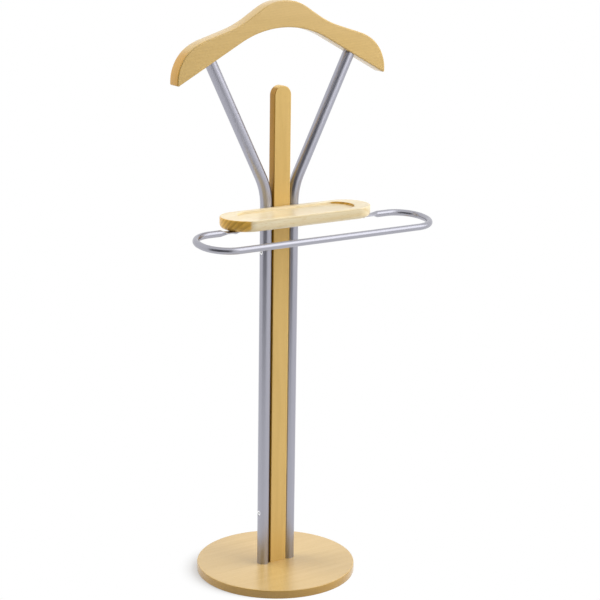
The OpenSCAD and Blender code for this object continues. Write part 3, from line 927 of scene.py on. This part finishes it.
def wood(name, light, dark, grain_turn=(0, 0, 0), pith=(0.07, 0), ring=0.0036, ring_share=0.10,
         streak_share=0.22, fleck_share=0.22, fleck_size=1.0, edge_and_shade_axis=0, edge_and_shade_tint=(1, 1, 1), edge_and_shade_from=-0.5,
         edge_and_shade_to=-0.7, late_edge_and_shade_share=1.0, roughness=0.36, coat=0.35, coat_roughness=0.16):
    """Lacquered wood in object space: growth rings of that width around a pith line, streaks, fibres and
    short flecks along the grain. The pith is (y, z) once the grain is turned along x. Faces whose normal's
    share along one axis goes from the one bound to the other take a tint, partly the colour of end grain and
    edges and partly painted shade, and a further share darkens the rings there."""
    material = bpy.data.materials.new(name)
    tree = Tree(material)
    along = tree.scaled(tree.coordinates(), (1, 1, 1), rotation=tuple(math.radians(a) for a in grain_turn))
    waver = tree.noise(tree.scaled(along, WAVER_SCALE))
    across = tree.split(along)
    y = tree.math("SUBTRACT", across[1], pith[0])
    z = tree.math("SUBTRACT", across[2], pith[1])
    radius = tree.math("SQRT", tree.math("ADD", tree.math("MULTIPLY", y, y), tree.math("MULTIPLY", z, z)))
    radius = tree.math("ADD", radius, tree.math("MULTIPLY", waver, WAVER_REACH))
    year = tree.math("FRACT", tree.math("DIVIDE", radius, ring))
    late = tree.math("MULTIPLY", tree.span(year, 0.1, 0.84), tree.span(year, 1.0, 0.88))
    streak = tree.span(tree.noise(tree.scaled(along, STREAK_SCALE), detail=4, roughness=0.6), 0.25, 0.75)
    fibre = tree.noise(tree.scaled(along, FIBRE_SCALE))
    fleck_scale = tuple(a / fleck_size for a in FLECK_SCALE)
    fleck = tree.span(tree.noise(tree.scaled(along, fleck_scale, offset=(3, 7, 1)), detail=1), 0.58, 0.74)
    patch = tree.noise(tree.scaled(along, PATCH_SCALE, offset=(5, 1, 2)), detail=1)
    depth = tree.math("MULTIPLY", late, ring_share)
    layers = ((streak, streak_share), (fibre, FIBRE_SHARE), (fleck, fleck_share), (patch, PATCH_SHARE))
    for layer, share in layers:
        depth = tree.math("ADD", depth, tree.math("MULTIPLY", layer, share))
    middle = tuple((a + b) / 2 for a, b in zip(light, dark))
    colour = tree.ramp(depth, [(0.12, light), (0.45, middle), (0.85, dark)])
    normal = tree.split(tree.add("TexCoord", {}, output="Normal"))
    # Partly painted shade: faces turned along the axis take this tint, for their end grain or edge colour and
    # for the shade they stand in
    edge_and_shade_colour = tree.mix(late, (*edge_and_shade_tint, 1.0), (*tinted(edge_and_shade_tint, late_edge_and_shade_share), 1.0))
    colour = tree.mix(tree.span(normal[edge_and_shade_axis], edge_and_shade_from, edge_and_shade_to), colour, edge_and_shade_colour, blend_type="MULTIPLY")
    tree.shade({
        "Base Color": colour,
        "Roughness": tree.span(fibre, 0.2, 0.8, roughness - 0.04, roughness + 0.04),
        "Normal": tree.bump(depth, strength=0.15, distance=0.0001),
        "Specular IOR Level": 0.15,
        "Coat Weight": coat,
        "Coat Roughness": coat_roughness,
        "Coat IOR": 1.5,
    })
    return material


CLOUD_SCALE = (14, 14, 14)
FELT_SCALE = (1400, 1400, 1400)
BLOTCH_SCALE = (90, 90, 90)
MOULD_SCALE = (800, 800, 800)


def metal(name, colour, roughness, brush=(220, 220, 12)):
    """Satin metal: faint streaks along the drawing direction, in tone and roughness, and faint clouds."""
    material = bpy.data.materials.new(name)
    tree = Tree(material)
    coordinates = tree.coordinates()
    brushed = tree.noise(tree.scaled(coordinates, brush), detail=1)
    cloudy = tree.noise(tree.scaled(coordinates, CLOUD_SCALE), detail=1)
    tone = tree.blend(brushed, cloudy, first_share=0.3)
    tree.shade({
        "Base Color": tree.ramp(tone, [(0.3, tinted(colour, 0.96)), (0.7, colour)]),
        "Roughness": tree.span(tone, 0.3, 0.7, roughness - 0.02, roughness + 0.02),
        "Metallic": 1.0,
    })
    return material


def felt(name, colour):
    """Pressed wool felt: tangled fibres, matt, with a little sheen."""
    material = bpy.data.materials.new(name)
    tree = Tree(material)
    coordinates = tree.coordinates()
    tangle = tree.noise(tree.scaled(coordinates, FELT_SCALE), detail=4, roughness=0.7)
    blotch = tree.noise(tree.scaled(coordinates, BLOTCH_SCALE))
    tone = tree.blend(tangle, blotch, first_share=0.7)
    tree.shade({
        "Base Color": tree.ramp(tone, [(0.3, tinted(colour, 0.6)), (0.7, colour)]),
        "Roughness": tree.span(tone, 0.3, 0.7, 0.88, 0.98),
        "Normal": tree.bump(tangle, strength=0.6, distance=0.0004),
        "Sheen Weight": 0.3,
    })
    return material


def plastic(name, colour):
    """Moulded plastic with a faint texture."""
    material = bpy.data.materials.new(name)
    tree = Tree(material)
    grain = tree.noise(tree.scaled(tree.coordinates(), MOULD_SCALE))
    tree.shade({
        "Base Color": tree.ramp(grain, [(0.35, tinted(colour, 0.85)), (0.65, colour)]),
        "Roughness": tree.span(grain, 0.3, 0.7, 0.5, 0.62),
        "Normal": tree.bump(grain, strength=0.2, distance=0.0002),
    })
    return material


# ---- Stage, in metres and degrees ----

WHITE = (1.0, 1.0, 1.0, 1.0)
FLOOR_R = 6.0
FLOOR_SIDES = 96
FLOOR_COLOUR = (0.70, 0.70, 0.70, 1.0)
FADE_MIDDLE = (-0.030, 0.020, 0.0)    # on the side away from the key light, where the shadow falls
FADE_START = 0.09
FADE_END = 0.155


def set_on_stage(made, shader_of):
    """Gives a stage object a material of its own name, with the shader that shader_of makes."""
    material = bpy.data.materials.new(made.name)
    tree = Tree(material)
    tree.replace_shader(shader_of(tree))
    made.data.materials.append(material)


def floor_shader(tree):
    """Matt grey near the stand. Further out it looks plain white, but still throws light back as grey."""
    reach = tree.add("VectorMath", {0: tree.coordinates(), 1: FADE_MIDDLE}, output="Value",
                     operation="DISTANCE")
    fade = tree.span(reach, FADE_START, FADE_END)
    matt = tree.add("BsdfDiffuse", {"Color": FLOOR_COLOUR})
    white = tree.add("Emission", {"Color": WHITE, "Strength": 1.0})
    return tree.add("MixShader", {0: tree.math("MULTIPLY", fade, tree.seen_rays()), 1: matt, 2: white})


def floor():
    """Pale floor that keeps the shadow near the stand and fades to plain white further out."""
    builder = bmesh.new()
    builder.faces.new([builder.verts.new((FLOOR_R * p.x, FLOOR_R * p.y, 0)) for p in circle(1, FLOOR_SIDES)])
    set_on_stage(linked_object("floor", builder), floor_shader)


WORLD_LIGHT = 0.38
SCREEN_REACH = 1.8
SCREEN_STEPS = 12
FLAG_MIDDLE = -47.0
FLAG_WIDTH = 74.0
FLAG_LOW = 0.02
FLAG_TOP = 2.2
FLAG_COLOUR = (0.10, 0.10, 0.11, 1.0)
CARD_MIDDLE = 40.0
CARD_WIDTH = 52.0
CARD_LOW = 0.88
CARD_TOP = 4.4
CARD_STRENGTH = 2.2


def world():
    """Even soft light from all round. The camera and all that mirrors see it as plain white."""
    made = bpy.data.worlds.new("studio")
    bpy.context.scene.world = made
    tree = Tree(made)
    tree.feed(tree.nodes["Background"].inputs, {
        "Color": WHITE, "Strength": tree.span(tree.seen_rays(), 0.0, 1.0, WORLD_LIGHT, 1.0)})


def bent_screen(name, middle, width, low, high, shader_of, **visibility):
    """Upright screen bent round the stand, from height low to height high. Its middle is an angle to the
    right of the front."""
    builder = bmesh.new()
    rows = []
    for k in range(SCREEN_STEPS + 1):
        at = SCREEN_REACH * turned(middle - 90 + width * (k / SCREEN_STEPS - 0.5))
        rows.append([builder.verts.new((at.x, at.y, z)) for z in (low, high)])
    for left, right in zip(rows, rows[1:]):
        builder.faces.new((left[0], right[0], right[1], left[1]))
    made = linked_object(name, builder)
    made.visible_camera = False
    made.visible_transmission = False
    for kind, visible in visibility.items():
        setattr(made, "visible_" + kind, visible)
    set_on_stage(made, shader_of)


def flag_shader(tree):
    return tree.add("BsdfDiffuse", {"Color": FLAG_COLOUR})


def card_shader(tree):
    return tree.add("Emission", {"Color": WHITE, "Strength": CARD_STRENGTH})


def screens():
    """A dark flag on the camera's side, which shades that side and gives the metal its dark bands, and a
    bright card above the key light's side, which only the metal and the lacquer mirror."""
    bent_screen("flag", FLAG_MIDDLE, FLAG_WIDTH, FLAG_LOW, FLAG_TOP, flag_shader)
    bent_screen("card", CARD_MIDDLE, CARD_WIDTH, CARD_LOW, CARD_TOP, card_shader, diffuse=False, shadow=False)


def soft_light(name, azimuth, elevation, distance, size, power):
    """Square soft light that looks at the middle of the stand. Azimuth 0 is in front, 90 on the right."""
    data = bpy.data.lights.new(name, "AREA")
    data.energy = power
    data.size = size
    made = bpy.data.objects.new(name, data)
    bpy.context.scene.collection.objects.link(made)
    flat = turned(azimuth - 90) * math.cos(math.radians(elevation))
    away = Vector((flat.x, flat.y, math.sin(math.radians(elevation))))
    aim = Vector((0, 0, hanger_top * MM / 2))
    made.location = aim + distance * away
    made.rotation_euler = away.to_track_quat("Z", "Y").to_euler()
    made.visible_glossy = False


# Fitted to the photograph
VIEW_AZIMUTH = 33.73
VIEW_ELEVATION = 14.45
VIEW_ROLL = 0.81
VIEW_DISTANCE = 3.345
AIM_SIDE = 0.0401      # how far to the right of the stand's middle line the camera looks
AIM_HEIGHT = 0.5319
FOCAL_PIXELS = 1811.0
IMAGE_PIXELS = 600
SENSOR = 36.0


def camera():
    """Camera at the photograph's place. Its azimuth is measured to the left of the front."""
    azimuth, elevation, roll = (math.radians(a) for a in (VIEW_AZIMUTH, VIEW_ELEVATION, VIEW_ROLL))
    back = Vector((-math.sin(azimuth) * math.cos(elevation), -math.cos(azimuth) * math.cos(elevation),
                   math.sin(elevation)))
    right = Vector((0, 0, 1)).cross(back).normalized()
    up = back.cross(right)
    rolled_right = math.cos(roll) * right + math.sin(roll) * up
    rolled_up = math.cos(roll) * up - math.sin(roll) * right
    data = bpy.data.cameras.new("camera")
    data.sensor_width = SENSOR
    data.lens = FOCAL_PIXELS / IMAGE_PIXELS * SENSOR
    data.clip_end = 100.0
    made = bpy.data.objects.new("camera", data)
    bpy.context.scene.collection.objects.link(made)
    aim = Vector((AIM_SIDE * math.cos(azimuth), -AIM_SIDE * math.sin(azimuth), AIM_HEIGHT))
    made.matrix_world = Matrix.Translation(aim + VIEW_DISTANCE * back) @ Matrix(
        (rolled_right, rolled_up, back)).transposed().to_4x4()
    bpy.context.scene.camera = made


# ---- Everything together ----

BEECH_LIGHT = (0.81, 0.55, 0.19)
BEECH_DARK = (0.65, 0.42, 0.12)
HANGER_PAINTED_SHADE = 0.89    # painted shade: the hanger takes the slat's beech a little darker, to offset the more light that falls on it
PALE_LIGHT = (0.92, 0.83, 0.61)
PALE_DARK = (0.76, 0.60, 0.33)
DISC_LIGHT = (0.70, 0.49, 0.205)
DISC_DARK = (0.56, 0.36, 0.11)

# The disc's rim and underside take a darker tint: partly edge colour, partly painted shade on the faces not
# turned up
disc_wood = wood("disc_wood", DISC_LIGHT, DISC_DARK, pith=(0.05, -0.16), ring_share=0.07,
                 edge_and_shade_axis=2, edge_and_shade_tint=(0.78, 0.66, 0.34), edge_and_shade_from=0.7, edge_and_shade_to=0.5,
                 coat=1.0, coat_roughness=0.25)
# The slat's faces turned to -x, its left side, take a dark tint: partly edge colour, partly painted shade;
# the right side keeps the front's colour
slat_wood = wood("slat_wood", BEECH_LIGHT, BEECH_DARK, grain_turn=(0, 90, 0), pith=(0.12, 0.02),
                 ring_share=0.07, edge_and_shade_tint=(0.56, 0.41, 0.08))
# The hanger's faces turned to -x, its left end, take an ochre tint: partly end grain, partly painted shade;
# the right end keeps the front's colour
hanger_wood = wood("hanger_wood", tinted(BEECH_LIGHT, HANGER_PAINTED_SHADE), tinted(BEECH_DARK, HANGER_PAINTED_SHADE),
                   grain_turn=(0, 0, 5), pith=(0.09, 0.90), ring_share=0.09,
                   edge_and_shade_tint=(0.96, 0.75, 0.24), edge_and_shade_from=-0.55, edge_and_shade_to=-0.8, coat=0.9)
# The tray's faces turned to -x, its left end and the recess wall at its right end, take an ochre tint with
# darker rings: partly end grain, partly painted shade; the right end keeps the pale colour
tray_wood = wood("tray_wood", PALE_LIGHT, PALE_DARK, pith=(0.06, 0.82), ring=0.007,
                 ring_share=0.26, streak_share=0.34, fleck_share=0.55, fleck_size=2.2, late_edge_and_shade_share=0.80,
                 edge_and_shade_tint=(1.0, 0.68, 0.17), edge_and_shade_from=-0.22, edge_and_shade_to=-0.36, coat=0.6, coat_roughness=0.28)
tube_metal = metal("tube_metal", (0.42, 0.42, 0.48), 0.33)
bar_metal = metal("bar_metal", (0.42, 0.42, 0.47), 0.29, brush=(12, 220, 220))
bright_metal = metal("bright_metal", (0.90, 0.90, 0.92), 0.20)
# Painted shade for the hollows of the key sockets
socket_painted_shade = metal("socket_painted_shade", (0.08, 0.08, 0.09), 0.50)
zinc_metal = metal("zinc_metal", (0.55, 0.56, 0.60), 0.3)
felt_cloth = felt("felt_cloth", (0.20, 0.16, 0.13))
plug_plastic = plastic("plug_plastic", (0.045, 0.045, 0.05))

base_plate(disc_wood)
centre_slat(slat_wood)
hanger_board(hanger_wood)
tray(tray_wood)
bent_tube("left_bent_tube", -1, COLUMN_BOLT_D, tube_metal, "left_tube")
bent_tube("right_bent_tube", 1, SLEEVE_D, tube_metal, "right_tube")
trouser_bar(bar_metal)
shade_sockets(column_bolts(bright_metal), socket_painted_shade)
shade_sockets(sleeve_nuts(bright_metal), socket_painted_shade)
base_bolts(zinc_metal)
bar_screws(zinc_metal)
wood_screws("slat_screw_pair", SLAT_SCREW_D, SLAT_SCREW_LEN, slat_screw_place, zinc_metal, "slat_screws")
wood_screws("tray_screw_pair", TRAY_SCREW_D, TRAY_SCREW_LEN, tray_screw_place, zinc_metal, "tray_screws")
wood_screws("hanger_screw_pair", HANGER_SCREW_D, HANGER_SCREW_LEN, hanger_screw_place, zinc_metal,
            "hanger_screws")
felt_discs("centre_felt_pad", felt_high.x, [(0, 0)], felt_cloth, "centre_felt")
felt_discs("rim_felt_pads", RIM_FELT_R, rim_places(), felt_cloth, "rim_felts")

# The CAD nodes that keep their own meshes
KEPT_MESHES = {
    "left_foot_insert": zinc_metal,
    "right_foot_insert": zinc_metal,
    "base_washers": zinc_metal,
    "left_hanger_plug": plug_plastic,
    "right_hanger_plug": plug_plastic,
}
for node, material in KEPT_MESHES.items():
    mesh = frame["nodes"][node].data
    mesh.materials.clear()
    mesh.materials.append(material)

floor()
world()
screens()
soft_light("key", azimuth=56, elevation=35, distance=2.8, size=3.2, power=97)
soft_light("rim", azimuth=-130, elevation=38, distance=2.8, size=2.2, power=54)
camera()
bpy.context.scene.view_settings.view_transform = "Standard"

bpy.context.view_layer.update()
